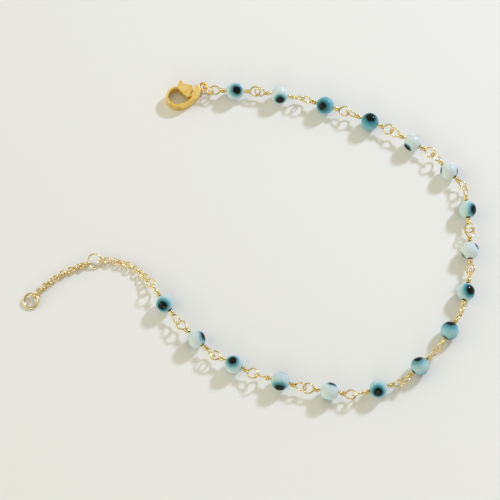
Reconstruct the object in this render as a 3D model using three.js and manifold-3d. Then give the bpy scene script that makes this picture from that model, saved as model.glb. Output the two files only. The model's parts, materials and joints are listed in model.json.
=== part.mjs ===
// Evil eye bracelet lying open on a flat surface: seventeen glass beads on wire links with a loop
// at each end, a lobster clasp at one end and a chain extender with two rings at the other.
// Millimetres, +Z up, the surface at z = 0. The bracelet curves clockwise from clasp to extender.
import * as THREE from 'three';
import { mergeVertices } from 'three/addons/utils/BufferGeometryUtils.js';
import Module from 'manifold-3d';

const wasm = await Module();
wasm.setup();

// Bead
const BEAD_RADIUS = 2.0;
const BEAD_BORE_RADIUS = 0.5;
const BEAD_SIDES = 12;
const BEAD_PROFILE_STEPS = 6;

// Wire link that carries one bead
const WIRE_RADIUS = 0.18;
const LOOP_RADIUS = 1.1; // to the middle of the wire
const LINK_REACH = 5.73; // bead centre to the far wire of a loop
const TAUT_PITCH = 2 * (LINK_REACH - WIRE_RADIUS); // bead to bead with the loops pulled tight
const WRAP_RADIUS = 0.54;
const WRAP_SIDES = 6;
const WRAP_START = 2.12; // from the bead's centre
const LOOP_STEPS = 10;
const WIRE_SIDES = 5;

// One row for each bead from the clasp on. heading: the way its link points, degrees from +X.
// slack: how far the joint before the next bead is from taut, mm. rollIn, rollOut: the turn of
// the link's first and last loop about the wire, degrees, where 0 lies flat.
const LINKS = [
  { heading: -2, slack: 0.75, rollIn: -5, rollOut: 10 },
  { heading: -10, slack: 0.4, rollIn: 65, rollOut: -80 },
  { heading: -19, slack: 0.15, rollIn: -30, rollOut: 5 },
  { heading: -26, slack: 0.15, rollIn: 90, rollOut: 20 },
  { heading: -33, slack: 0.15, rollIn: 65, rollOut: 30 },
  { heading: -51, slack: 0.25, rollIn: -35, rollOut: 75 },
  { heading: -87, slack: 1.0, rollIn: -60, rollOut: 15 },
  { heading: -91, slack: 0.9, rollIn: -20, rollOut: 45 },
  { heading: -104, slack: 1.0, rollIn: -80, rollOut: 65 },
  { heading: -122, slack: 0.3, rollIn: -80, rollOut: 45 },
  { heading: -136, slack: 0.3, rollIn: -80, rollOut: 45 },
  { heading: -164, slack: 0.3, rollIn: -75, rollOut: 72 },
  { heading: -189, slack: 0.25, rollIn: 5, rollOut: -20 },
  { heading: -196, slack: 0.25, rollIn: -65, rollOut: 62 },
  { heading: -207, slack: 0.9, rollIn: -5, rollOut: 10 },
  { heading: -225, slack: 0.15, rollIn: 90, rollOut: 15 },
  { heading: -236, slack: 0.15, rollIn: -70, rollOut: 80 },
];
const FIRST_LOOP = new THREE.Vector2(-9.18, 39.42); // far wire of the loop that the clasp hangs on

// Lobster clasp. Its own frame has the middle of the hook's bow near 0, 0 and its underside at 0.
const CLASP_TURN = 5; // degrees, on the surface
const CLASP_THICKNESS = 2.1;
const CLASP_BEVEL = 0.15;
const BOW_OUTER = { centre: new THREE.Vector2(0.35, 0.5), radius: 2.62, tip: 91.5 };
const BOW_INNER = { centre: new THREE.Vector2(0.37, 0.58), radius: 2.08, tip: 98.4 };
const HINGE = new THREE.Vector2(4.45, 0.75);
const CHEEK_RADIUS = 0.92;
const LEVER_CLEARANCE = 0.17; // between the cheeks' round edge and the lever's plate
const LEVER_REACH = 4.68; // hinge to the lever's end, which closes against the hook's tip
const PIN_RADIUS = 0.28;
const PIN_CLEARANCE = 0.08;
const PIN_HEAD_RADIUS = 0.42;
const PIN_HEAD_HEIGHT = 0.08;
const SLOT_WIDTH = 1.0;
const SLOT_RADIUS = 2.05;
const TONGUE_THICKNESS = 0.8;
const TONGUE_RADIUS = 1.85;
const EYE_RADIUS = 0.7; // the round end of the tongue that turns on the pin
const EYE_CLEARANCE = 0.1;
const TAIL_CENTRE = new THREE.Vector2(6.45, 2.75);
const TAIL_HOLE_RADIUS = 0.62;
const TAIL_OUTER_RADIUS = 1.12;
const TAIL_THICKNESS = 1.15;
const TAIL_CHAMFER = 0.13;
const TAIL_HEIGHT = 1.55;

// Jump rings, extender chain and its rings
const CLASP_RING = { radius: 1.3, wire: 0.2, heading: -36 };
const CLASP_RING_TO_LOOP = 0.4;
const CLASP_RING_TO_TAIL = 1.5;
const EXTENDER_RING = { radius: 1.02, wire: 0.19, nearHeight: 1.6, farHeight: 1.2, heading: 120 };
const EXTENDER_RING_INSET = 0.58; // from the last loop's far wire back to the ring's wire
const CHAIN_WIRE_RADIUS = 0.185;
const CHAIN_LINK_RADIUS = 0.64;
const CHAIN_PITCH = 0.955;
const CHAIN_END_PITCH = 1.05; // the first and last links leave room for a ring
const CHAIN_GAP = 0.06; // play between a chain's last link and a ring
const LIFTED_LINKS = 5; // the links over which a chain comes down from its first ring
const INNER_CHAIN = { links: 13, twist: 180, headingStart: 126, headingEnd: 184, lift: 0.42 };
const OUTER_CHAIN = { links: 15, twist: 180, headingStart: 196, headingEnd: 232, lift: 0 };
const MIDDLE_RING = { radius: 1.52, wire: 0.2, rest: 0.31, tilt: 24, low: 285, enter: 4, leave: 206 };
const END_RING = { radius: 1.6, wire: 0.28, rest: 0.28, tilt: 11, low: 255, enter: 52 };
const RING_STEPS = 14;
const RING_SIDES = 6;

const GOLD = { color: 0xd9a441, roughness: 0.28, metalness: 1.0 };
const GLASS = { color: 0x9fc7d6, roughness: 0.12, metalness: 0.0 };

const rad = THREE.MathUtils.degToRad;
const towards = (degrees) => new THREE.Vector2(Math.cos(rad(degrees)), Math.sin(rad(degrees)));

/** A closed geometry as a solid that can be joined and cut. */
function solid(geometry) {
  const bare = geometry.clone();
  bare.deleteAttribute('normal');
  bare.deleteAttribute('uv');
  const merged = mergeVertices(bare, 1e-4);
  const mesh = new wasm.Mesh({
    numProp: 3,
    vertProperties: new Float32Array(merged.attributes.position.array),
    triVerts: new Uint32Array(merged.index.array),
  });
  return new wasm.Manifold(mesh);
}

/** A solid back as a geometry. */
function geometryOf(manifold) {
  const { vertProperties, triVerts } = manifold.getMesh();
  const geometry = new THREE.BufferGeometry();
  geometry.setAttribute('position', new THREE.BufferAttribute(new Float32Array(vertProperties), 3));
  geometry.setIndex(new THREE.BufferAttribute(new Uint32Array(triVerts), 1));
  geometry.computeVertexNormals();
  return geometry;
}

function join(geometries) {
  return geometryOf(geometries.map(solid).reduce((sum, next) => sum.add(next)));
}

/** A ring of round wire in the XY plane; a corner of its section points to the middle. */
function wireRing(radius, wire, steps, sides) {
  const profile = Array.from({ length: sides + 1 }, (_, k) => {
    const a = (2 * Math.PI * (k % sides)) / sides;
    return new THREE.Vector2(radius - wire * Math.cos(a), -wire * Math.sin(a));
  });
  return new THREE.LatheGeometry(profile, steps).rotateY(Math.PI / 2).rotateX(Math.PI / 2);
}

/** A bead on the X axis, bored through, with one of its flats facing down. */
function bead() {
  const flatToCorner = 1 / Math.cos(Math.PI / BEAD_SIDES);
  const start = Math.asin(BEAD_BORE_RADIUS / BEAD_RADIUS);
  const profile = Array.from({ length: BEAD_PROFILE_STEPS + 1 }, (_, k) => {
    const a = start + ((Math.PI - 2 * start) * k) / BEAD_PROFILE_STEPS;
    return new THREE.Vector2(Math.sin(a), -Math.cos(a)).multiplyScalar(BEAD_RADIUS);
  });
  profile.forEach((point) => { point.x *= flatToCorner; });
  profile.push(profile[0].clone());
  return new THREE.LatheGeometry(profile, BEAD_SIDES)
    .rotateY(Math.PI / BEAD_SIDES)
    .rotateZ(-Math.PI / 2);
}

/** Half of a link's wire outline from the bead's centre out: bare wire, its coil, bare wire. */
function wireOutline() {
  const neck = LINK_REACH - 2 * LOOP_RADIUS;
  const wrapEnd = neck - WIRE_RADIUS / 2;
  return [
    [WIRE_RADIUS, WRAP_START],
    [WRAP_RADIUS, WRAP_START],
    [WRAP_RADIUS, wrapEnd],
    [WIRE_RADIUS, wrapEnd],
    [WIRE_RADIUS, neck],
    [0, neck],
  ];
}

/** The wire of one link along X: straight through the bead, with a coil and a loop at each end. */
function linkWire(rollIn, rollOut) {
  const profile = [
    ...wireOutline().reverse().map(([radius, along]) => new THREE.Vector2(radius, -along)),
    ...wireOutline().map(([radius, along]) => new THREE.Vector2(radius, along)),
  ];
  const stem = new THREE.LatheGeometry(profile, WRAP_SIDES).rotateZ(-Math.PI / 2);
  const loop = (place, roll) => wireRing(LOOP_RADIUS, WIRE_RADIUS, LOOP_STEPS, WIRE_SIDES)
    .translate(place, 0, 0)
    .rotateX(rad(roll));
  const place = LINK_REACH - LOOP_RADIUS;
  return join([stem, loop(place, rollOut), loop(-place, rollIn)]);
}

/** Where each bead stands and which way its link points, from the rows of LINKS. */
function beadPlaces() {
  const centre = FIRST_LOOP.clone().addScaledVector(towards(LINKS[0].heading), LINK_REACH);
  return LINKS.map((row, i) => {
    if (i > 0) {
      const half = (TAUT_PITCH - LINKS[i - 1].slack) / 2;
      centre.addScaledVector(towards(LINKS[i - 1].heading), half);
      centre.addScaledVector(towards(row.heading), half);
    }
    return { ...row, centre: centre.clone() };
  });
}

/** A ring tilted so that its point at the angle low touches the surface, or stands at height. */
function placedRing({ radius, wire, tilt, low }, centre, height) {
  const axis = new THREE.Vector3(-Math.sin(rad(low)), Math.cos(rad(low)), 0);
  const matrix = new THREE.Matrix4().makeRotationAxis(axis, rad(tilt));
  matrix.setPosition(centre.x, centre.y, height + radius * Math.sin(rad(tilt)));
  const point = (angle) => new THREE.Vector3(
    radius * Math.cos(rad(angle)), radius * Math.sin(rad(angle)), 0,
  ).applyMatrix4(matrix);
  const geometry = wireRing(radius, wire, RING_STEPS, RING_SIDES).applyMatrix4(matrix);
  return { geometry, point, middle: point(0).add(point(180)).multiplyScalar(0.5) };
}

/**
 * A chain of round links, joined where they touch. Each is a quarter turn from the last, and the
 * twist that the whole chain adds brings its two end links upright.
 */
function chain({ links, twist, headingStart, headingEnd, lift }, start) {
  const place = start.clone();
  const pieces = [];
  let heading = headingStart;
  for (let k = 0; k < links; k += 1) {
    const along = k / (links - 1);
    const roll = 90 + 90 * k + twist * along;
    heading = THREE.MathUtils.lerp(headingStart, headingEnd, along);
    const stand = Math.max(Math.abs(Math.sin(rad(roll))), Math.abs(Math.cos(rad(roll))));
    const lifted = Math.max(0, 1 - k / LIFTED_LINKS);
    place.z = CHAIN_LINK_RADIUS * stand + CHAIN_WIRE_RADIUS + lift * lifted ** 2;
    pieces.push(
      wireRing(CHAIN_LINK_RADIUS, CHAIN_WIRE_RADIUS, LOOP_STEPS, WIRE_SIDES)
        .rotateX(rad(roll))
        .rotateZ(rad(heading))
        .translate(place.x, place.y, place.z),
    );
    if (k < links - 1) {
      const next = THREE.MathUtils.lerp(headingStart, headingEnd, (k + 1) / (links - 1));
      const pitch = k === 0 || k === links - 2 ? CHAIN_END_PITCH : CHAIN_PITCH;
      const step = towards((heading + next) / 2).multiplyScalar(pitch);
      place.add(new THREE.Vector3(step.x, step.y, 0));
    }
  }
  return { geometry: join(pieces), last: place.clone(), heading };
}

/** A flat outline with rounded edges, lying between two heights. */
function plate(shape, low, high, bevel) {
  const options = { depth: high - low - 2 * bevel, curveSegments: 4, bevelEnabled: bevel > 0 };
  if (bevel > 0) {
    Object.assign(options, { bevelSize: bevel, bevelThickness: bevel, bevelSegments: 1 });
    options.bevelOffset = -bevel;
  }
  return new THREE.ExtrudeGeometry(shape, options).translate(0, 0, low + bevel);
}

function disc(centre, radius, low, high, sides = 12) {
  return new THREE.CylinderGeometry(radius, radius, high - low, sides)
    .rotateX(Math.PI / 2)
    .translate(centre.x, centre.y, (low + high) / 2);
}

const roundHinge = (radius, degrees) => towards(degrees).multiplyScalar(radius).add(HINGE);

/** A slice of a disc round the hinge, between two angles in degrees. */
function hingeSector(radius, from, to) {
  const shape = new THREE.Shape();
  const start = roundHinge(radius, from);
  shape.moveTo(HINGE.x, HINGE.y);
  shape.lineTo(start.x, start.y);
  shape.absarc(HINGE.x, HINGE.y, radius, rad(from), rad(to), false);
  shape.closePath();
  return shape;
}

function claspBody() {
  const outline = new THREE.Shape();
  const { centre: outer, radius: outerRadius } = BOW_OUTER;
  const { centre: inner, radius: innerRadius } = BOW_INNER;
  outline.absarc(outer.x, outer.y, outerRadius, rad(BOW_OUTER.tip), rad(270), false);
  outline.quadraticCurveTo(2.1, -2.1, 3.1, -1.3);
  outline.lineTo(4.3, -0.6);
  outline.quadraticCurveTo(5.4, 0.1, 5.6, 1.0);
  outline.lineTo(5.85, 1.85);
  outline.lineTo(5.6, 2.2);
  outline.lineTo(5.45, 2.65);
  outline.quadraticCurveTo(5.1, 3.1, 4.5, 2.9);
  outline.lineTo(4.38, 2.0);
  outline.absarc(HINGE.x, HINGE.y, CHEEK_RADIUS, rad(103), rad(222), false);
  outline.lineTo(3.1, -0.55);
  outline.lineTo(1.9, -1.3);
  outline.quadraticCurveTo(1.5, -1.42, 1.1, -1.37);
  outline.absarc(inner.x, inner.y, innerRadius, rad(-70), rad(BOW_INNER.tip - 360), true);
  outline.closePath();
  const middle = CLASP_THICKNESS / 2;
  const slotLow = middle - SLOT_WIDTH / 2;
  const slotHigh = middle + SLOT_WIDTH / 2;
  const half = TAIL_THICKNESS / 2;
  const tailRing = new THREE.LatheGeometry([
    new THREE.Vector2(TAIL_HOLE_RADIUS, TAIL_CHAMFER - half),
    new THREE.Vector2(TAIL_HOLE_RADIUS + TAIL_CHAMFER, -half),
    new THREE.Vector2(TAIL_OUTER_RADIUS - TAIL_CHAMFER, -half),
    new THREE.Vector2(TAIL_OUTER_RADIUS, 0),
    new THREE.Vector2(TAIL_OUTER_RADIUS - TAIL_CHAMFER, half),
    new THREE.Vector2(TAIL_HOLE_RADIUS + TAIL_CHAMFER, half),
    new THREE.Vector2(TAIL_HOLE_RADIUS, half - TAIL_CHAMFER),
    new THREE.Vector2(TAIL_HOLE_RADIUS, TAIL_CHAMFER - half),
  ], RING_STEPS).rotateX(Math.PI / 2).translate(TAIL_CENTRE.x, TAIL_CENTRE.y, TAIL_HEIGHT);
  const slotted = solid(plate(outline, 0, CLASP_THICKNESS, CLASP_BEVEL))
    .add(solid(tailRing))
    .subtract(solid(plate(hingeSector(SLOT_RADIUS, 150, 236), slotLow, slotHigh, 0)))
    .subtract(solid(disc(HINGE, EYE_RADIUS + EYE_CLEARANCE, slotLow, slotHigh)));
  return geometryOf(
    slotted
      .add(solid(disc(HINGE, PIN_RADIUS, slotLow - 0.2, slotHigh + 0.2)))
      .add(solid(disc(HINGE, PIN_HEAD_RADIUS, slotHigh + 0.2, CLASP_THICKNESS + PIN_HEAD_HEIGHT))),
  );
}

function claspLever() {
  const knobFoot = roundHinge(LEVER_REACH, 138);
  const outline = new THREE.Shape();
  outline.moveTo(0.6, 2.62);
  outline.lineTo(2.7, 0.02);
  outline.absarc(HINGE.x, HINGE.y, CHEEK_RADIUS + LEVER_CLEARANCE, rad(203), rad(105), true);
  outline.lineTo(3.95, 3.12);
  outline.quadraticCurveTo(3.0, 3.5, 1.85, 3.85);
  outline.quadraticCurveTo(1.9, 4.68, 1.35, 4.68);
  outline.quadraticCurveTo(0.8, 4.65, knobFoot.x, knobFoot.y);
  outline.absarc(HINGE.x, HINGE.y, LEVER_REACH, rad(138), rad(155), false);
  outline.closePath();
  const middle = CLASP_THICKNESS / 2;
  const low = middle - TONGUE_THICKNESS / 2;
  const high = middle + TONGUE_THICKNESS / 2;
  const tongue = solid(plate(hingeSector(TONGUE_RADIUS, 165, 219), low, high, 0));
  return geometryOf(
    solid(plate(outline, 0.05, CLASP_THICKNESS - 0.05, 0.12))
      .add(tongue)
      .add(solid(disc(HINGE, EYE_RADIUS, low, high)))
      .subtract(solid(disc(HINGE, PIN_RADIUS + PIN_CLEARANCE, low - 0.1, high + 0.1))),
  );
}

const bracelet = new THREE.Group();

function addPiece(parent, name, geometry, finish) {
  const mesh = new THREE.Mesh(geometry, new THREE.MeshStandardMaterial(finish));
  mesh.name = name;
  parent.add(mesh);
  return mesh;
}

const places = beadPlaces();
places.forEach(({ centre, heading, rollIn, rollOut }, i) => {
  const number = String(i + 1).padStart(2, '0');
  const link = new THREE.Group();
  link.position.set(centre.x, centre.y, BEAD_RADIUS);
  link.rotation.z = rad(heading);
  addPiece(link, `bead_${number}`, bead(), GLASS);
  addPiece(link, `link_wire_${number}`, linkWire(rollIn, rollOut), GOLD);
  bracelet.add(link);
});

// Clasp: its tail ring, its jump ring and the first link's loop hang in one upright line
const claspLine = towards(CLASP_RING.heading);
const claspRingCentre = FIRST_LOOP.clone().addScaledVector(claspLine, -CLASP_RING_TO_LOOP);
addPiece(
  bracelet,
  'clasp_jump_ring',
  wireRing(CLASP_RING.radius, CLASP_RING.wire, RING_STEPS, RING_SIDES)
    .rotateX(Math.PI / 2)
    .rotateZ(rad(CLASP_RING.heading))
    .translate(claspRingCentre.x, claspRingCentre.y, CLASP_RING.radius + CLASP_RING.wire),
  GOLD,
);
const clasp = new THREE.Group();
const tail = claspRingCentre.clone().addScaledVector(claspLine, -CLASP_RING_TO_TAIL);
const tailInClasp = TAIL_CENTRE.clone().rotateAround(new THREE.Vector2(), rad(CLASP_TURN));
clasp.position.set(tail.x - tailInClasp.x, tail.y - tailInClasp.y, 0);
clasp.rotation.z = rad(CLASP_TURN);
addPiece(clasp, 'clasp_body', claspBody(), GOLD);
addPiece(clasp, 'clasp_lever', claspLever(), GOLD);
bracelet.add(clasp);

// Extender: each ring hangs in the last link of the chain before it
const last = places[places.length - 1];
const extenderTilt = THREE.MathUtils.radToDeg(
  Math.asin((EXTENDER_RING.nearHeight - EXTENDER_RING.farHeight) / (2 * EXTENDER_RING.radius)),
);
const hold = last.centre.clone()
  .addScaledVector(towards(last.heading), LINK_REACH - EXTENDER_RING_INSET)
  .addScaledVector(towards(EXTENDER_RING.heading), EXTENDER_RING.radius * Math.cos(rad(extenderTilt)));
const extenderRing = placedRing(
  { ...EXTENDER_RING, tilt: extenderTilt, low: EXTENDER_RING.heading }, hold, EXTENDER_RING.farHeight,
);
addPiece(bracelet, 'extender_jump_ring', extenderRing.geometry, GOLD);

/** The middle of a chain's first link when it hangs on a ring's wire at the given point. */
function firstLinkPlace(point, wire, heading) {
  const out = towards(heading).multiplyScalar(CHAIN_LINK_RADIUS - wire - CHAIN_WIRE_RADIUS - CHAIN_GAP);
  return new THREE.Vector3(point.x + out.x, point.y + out.y, 0);
}

/** The middle of a ring whose wire, at the angle enter, hangs in a chain's last link. */
function nextRingCentre(ring, run) {
  const reach = CHAIN_LINK_RADIUS - ring.wire - CHAIN_WIRE_RADIUS - CHAIN_GAP;
  const held = new THREE.Vector2(run.last.x, run.last.y).addScaledVector(towards(run.heading), reach);
  const offset = placedRing(ring, new THREE.Vector2(), ring.rest).point(ring.enter);
  return held.sub(new THREE.Vector2(offset.x, offset.y));
}

const innerStart = firstLinkPlace(
  extenderRing.point(EXTENDER_RING.heading), EXTENDER_RING.wire, INNER_CHAIN.headingStart,
);
const innerChain = chain(INNER_CHAIN, innerStart);
addPiece(bracelet, 'extender_chain_inner', innerChain.geometry, GOLD);

const middleRing = placedRing(MIDDLE_RING, nextRingCentre(MIDDLE_RING, innerChain), MIDDLE_RING.rest);
addPiece(bracelet, 'extender_middle_ring', middleRing.geometry, GOLD);

const outerStart = firstLinkPlace(
  middleRing.point(MIDDLE_RING.leave), MIDDLE_RING.wire, OUTER_CHAIN.headingStart,
);
const outerChain = chain(OUTER_CHAIN, outerStart);
addPiece(bracelet, 'extender_chain_outer', outerChain.geometry, GOLD);

const endRing = placedRing(END_RING, nextRingCentre(END_RING, outerChain), END_RING.rest);
addPiece(bracelet, 'extender_end_ring', endRing.geometry, GOLD);

// The frame's origin is under the middle of the whole bracelet
const box = new THREE.Box3().setFromObject(bracelet, true);
const middle = box.getCenter(new THREE.Vector3());
bracelet.position.set(-middle.x, -middle.y, -box.min.z);

export default bracelet;
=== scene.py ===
"""Looks of the evil eye bracelet: glass eye beads on wrapped wire links, clasp and extender.

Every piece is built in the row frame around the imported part, in metres, and stands for one of
its nodes. Lengths are millimetres times MM, so metres, but for the eyes' radii and the clasp,
which are plain millimetres; the clasp is brought to metres when it is put in its place.
"""
import json
import logging
import math
from collections.abc import Callable, Iterator, Sequence
from contextlib import contextmanager
from dataclasses import dataclass, field
from enum import Enum

import bmesh
import bpy
import numpy as np
from mathutils import Matrix, Vector


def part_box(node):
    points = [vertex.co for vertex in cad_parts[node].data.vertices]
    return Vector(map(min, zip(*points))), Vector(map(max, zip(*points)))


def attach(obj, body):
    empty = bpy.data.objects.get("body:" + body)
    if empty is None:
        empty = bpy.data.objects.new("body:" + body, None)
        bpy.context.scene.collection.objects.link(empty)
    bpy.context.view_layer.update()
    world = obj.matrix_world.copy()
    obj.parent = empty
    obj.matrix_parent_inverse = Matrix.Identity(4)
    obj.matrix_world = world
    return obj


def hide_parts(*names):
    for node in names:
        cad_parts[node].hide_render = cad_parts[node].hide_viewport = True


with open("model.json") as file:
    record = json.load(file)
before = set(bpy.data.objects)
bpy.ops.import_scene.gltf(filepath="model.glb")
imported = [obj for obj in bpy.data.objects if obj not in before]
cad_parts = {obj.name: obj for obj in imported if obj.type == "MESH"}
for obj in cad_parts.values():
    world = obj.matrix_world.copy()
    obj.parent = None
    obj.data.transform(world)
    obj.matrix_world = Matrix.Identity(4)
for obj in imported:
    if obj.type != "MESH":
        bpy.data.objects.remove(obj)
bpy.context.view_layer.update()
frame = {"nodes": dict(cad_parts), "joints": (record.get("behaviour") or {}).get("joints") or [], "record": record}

MM = 0.001
WELD = 1e-7  # points closer than this are one
BRACELET = "bracelet"
LEVER = "lever"

log = logging.getLogger("bracelet")

Colour = tuple[float, float, float]
Socket = bpy.types.NodeSocket


# ---------------------------------------------------------------- small modelling tools


class Part(Enum):
    """What a selection in edit mode takes."""

    EDGE = "EDGE"
    FACE = "FACE"


class Join(Enum):
    """How two solids are joined."""

    UNION = "UNION"
    CUT = "DIFFERENCE"


def rad(degrees: float) -> float:
    """An angle in radians."""
    return math.radians(degrees)


def activate(piece: bpy.types.Object) -> None:
    """Select one piece alone and make it the active one.

    Args:
        piece: The object.
    """
    bpy.ops.object.select_all(action="DESELECT")
    piece.select_set(True)
    bpy.context.view_layer.objects.active = piece


@contextmanager
def editing(piece: bpy.types.Object) -> Iterator[None]:
    """Keep a piece in edit mode for the length of a block.

    Args:
        piece: The mesh object to edit.

    Returns:
        Nothing for the block to use.
    """
    activate(piece)
    bpy.ops.object.mode_set(mode="EDIT")
    try:
        yield
    finally:
        bpy.ops.object.mode_set(mode="OBJECT")


def select_where(
    piece: bpy.types.Object, part: Part, test: Callable[[Vector, Vector], bool]
) -> None:
    """Select the faces or edges of a piece in edit mode that pass a test.

    Args:
        piece: The mesh object, in edit mode.
        part: Whether edges or faces are selected.
        test: Takes the element's middle and its normal, or an edge's direction.
    """
    bpy.ops.mesh.select_mode(type=part.value)
    bpy.ops.mesh.select_all(action="DESELECT")
    shape = bmesh.from_edit_mesh(piece.data)
    if part is Part.FACE:
        chosen = [f for f in shape.faces if test(f.calc_center_median(), f.normal)]
    else:
        ends = [(e, e.verts[0].co, e.verts[1].co) for e in shape.edges]
        chosen = [e for e, a, b in ends if test((a + b) / 2, (b - a).normalized())]
    for element in chosen:
        element.select = True
    shape.select_flush_mode()
    bmesh.update_edit_mesh(piece.data)


def settle(piece: bpy.types.Object, place: Matrix | None = None) -> None:
    """Put a piece's place into its mesh and leave the object at the origin.

    Args:
        piece: The mesh object.
        place: Where it goes, or nothing to keep where it stands.
    """
    if place is not None:
        piece.matrix_world = place @ piece.matrix_world
    activate(piece)
    bpy.ops.object.transform_apply(location=True, rotation=True, scale=True)


def clean(piece: bpy.types.Object) -> None:
    """Weld a piece's doubles and turn its faces outwards."""
    with editing(piece):
        bpy.ops.mesh.select_all(action="SELECT")
        bpy.ops.mesh.remove_doubles(threshold=WELD)
        bpy.ops.mesh.normals_make_consistent(inside=False)


def apply_all(piece: bpy.types.Object) -> None:
    """Apply every modifier of a piece in order."""
    activate(piece)
    for modifier in list(piece.modifiers):
        bpy.ops.object.modifier_apply(modifier=modifier.name)


def combine(piece: bpy.types.Object, other: bpy.types.Object, how: Join) -> None:
    """Join another solid to a piece, or cut it out, and remove the other.

    Args:
        piece: The solid that stays.
        other: The solid that is joined or cut out.
        how: Whether it is joined or cut out.
    """
    modifier = piece.modifiers.new("combine", "BOOLEAN")
    modifier.operation = how.value
    modifier.solver = "EXACT"
    modifier.object = other
    apply_all(piece)
    bpy.data.objects.remove(other)


def merge(pieces: Sequence[bpy.types.Object]) -> bpy.types.Object:
    """Make one mesh object of several that don't touch.

    Args:
        pieces: The mesh objects.

    Returns:
        The one object that is left.
    """
    activate(pieces[0])
    for piece in pieces:
        piece.select_set(True)
    bpy.ops.object.join()
    return bpy.context.view_layer.objects.active


def copy_of(piece: bpy.types.Object, name: str) -> bpy.types.Object:
    """Copy a piece with its own mesh.

    Args:
        piece: The mesh object.
        name: The copy's name.

    Returns:
        The copy.
    """
    twin = piece.copy()
    twin.data = piece.data.copy()
    twin.name = twin.data.name = name
    bpy.context.scene.collection.objects.link(twin)
    return twin


def smooth(piece: bpy.types.Object, angle: float) -> None:
    """Shade a piece smooth, with edges sharper than an angle in degrees kept."""
    activate(piece)
    bpy.ops.object.shade_smooth_by_angle(angle=rad(angle))


def frame_of(along: Vector, up: Vector, middle: Vector) -> Matrix:
    """The place of a local frame.

    Args:
        along: The way its X axis points.
        up: A direction that its Z axis stays close to.
        middle: Where its origin goes.

    Returns:
        The matrix from the local frame to the row frame.
    """
    x = along.normalized()
    y = up.cross(x).normalized()
    z = x.cross(y)
    turn = Matrix((x, y, z)).transposed().to_4x4()
    return Matrix.Translation(middle) @ turn


def node_points(node: str) -> np.ndarray:
    """Read a CAD node's corner points.

    Args:
        node: The node's name.

    Returns:
        A row for each point.
    """
    vertices = frame["nodes"][node].data.vertices
    points = np.empty(len(vertices) * 3)
    vertices.foreach_get("co", points)
    return points.reshape(-1, 3)


def main_directions(points: np.ndarray) -> list[Vector]:
    """The directions that points spread along, widest first.

    Args:
        points: A row for each point.

    Returns:
        One unit vector for each dimension of the points.
    """
    spread = np.cov((points - points.mean(axis=0)).T)
    _, directions = np.linalg.eigh(spread)
    return [Vector(directions[:, k]) for k in reversed(range(points.shape[1]))]


def node_middle(node: str) -> Vector:
    """The middle of a CAD node's box."""
    low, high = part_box(node)
    return (low + high) / 2


# ---------------------------------------------------------------- finishes


class Graph:
    """The nodes of a material or of the world, wired by short calls."""

    def __init__(
        self, owner: bpy.types.Material | bpy.types.World, shader: str = "Principled BSDF"
    ) -> None:
        """Start with the owner's own nodes.

        Args:
            owner: The new material or world.
            shader: The name of the shader that it starts with.
        """
        owner.use_nodes = True
        self.owner = owner
        self.tree = owner.node_tree
        self.shader = self.tree.nodes[shader]

    def add(
        self, kind: str, sockets: dict[str | int, object] | None = None, **settings: object
    ) -> bpy.types.Node:
        """Add a node.

        Args:
            kind: The node's type, without its ShaderNode prefix.
            sockets: For each input, a value or the output that feeds it.
            settings: The node's own settings.

        Returns:
            The node.
        """
        node = self.tree.nodes.new("ShaderNode" + kind)
        for key, value in settings.items():
            setattr(node, key, value)
        for key, value in (sockets or {}).items():
            self.feed(node.inputs[key], value)
        return node

    def feed(self, socket: Socket, value: object) -> None:
        """Set an input to a value, or wire an output to it."""
        if isinstance(value, Socket):
            self.tree.links.new(value, socket)
        else:
            socket.default_value = value

    def math(self, operation: str, *values: object) -> Socket:
        """A number worked out from one to three others."""
        node = self.add("Math", dict(enumerate(values)), operation=operation)
        return node.outputs[0]

    def vector(self, operation: str, *values: object, output: int = 0) -> Socket:
        """A vector worked out from one or two others."""
        node = self.add("VectorMath", dict(enumerate(values)), operation=operation)
        return node.outputs[output]

    def noise(self, place: Socket, size: float, detail: float) -> bpy.types.Node:
        """A noise whose lumps are about a size in metres."""
        return self.add(
            "TexNoise", {"Vector": place, "Scale": 1.0 / size, "Detail": detail, "Roughness": 0.5}
        )

    def fade(self, value: object, start: object, end: object) -> Socket:
        """A number that goes smoothly from 1 at the start to 0 at the end."""
        node = self.add(
            "MapRange",
            {"Value": value, "From Min": start, "From Max": end, "To Min": 1.0, "To Max": 0.0},
            interpolation_type="SMOOTHSTEP",
        )
        return node.outputs["Result"]

    def mix(self, share: object, first: object, second: object) -> Socket:
        """Mix two colours.

        Args:
            share: How much of the second colour, from 0 to 1.
            first: The colour at 0.
            second: The colour at 1.

        Returns:
            The mixed colour.
        """
        node = self.add("Mix", data_type="RGBA")
        colours = [s for s in node.inputs if s.type == "RGBA"]
        self.feed(node.inputs["Factor"], share)
        for socket, value in zip(colours, (first, second)):
            self.feed(socket, (*value, 1.0) if isinstance(value, tuple) else value)
        return next(s for s in node.outputs if s.type == "RGBA")

    def ramp(self, value: Socket, stops: Sequence[tuple[float, Colour]]) -> Socket:
        """Read a colour from a row of stops.

        Args:
            value: Where to read, from 0 to 1.
            stops: Each stop's place and colour.

        Returns:
            The colour.
        """
        node = self.add("ValToRGB", {"Fac": value})
        elements = node.color_ramp.elements
        while len(elements) < len(stops):
            elements.new(0.5)
        for element, (place, colour) in zip(elements, stops):
            element.position = place
            element.color = (*colour, 1.0)
        return node.outputs["Color"]

    def dent(self, height: Socket, strength: float, depth: float) -> None:
        """Give the shader a bump from a height, with a strength and a depth in metres."""
        bump = self.add("Bump", {"Height": height, "Strength": strength, "Distance": depth})
        self.feed(self.shader.inputs["Normal"], bump.outputs["Normal"])

    def set(self, **constants: object) -> None:
        """Set the shader's own sockets, whose names are given with underscores."""
        for key, value in constants.items():
            self.shader.inputs[key.replace("_", " ")].default_value = value


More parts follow.
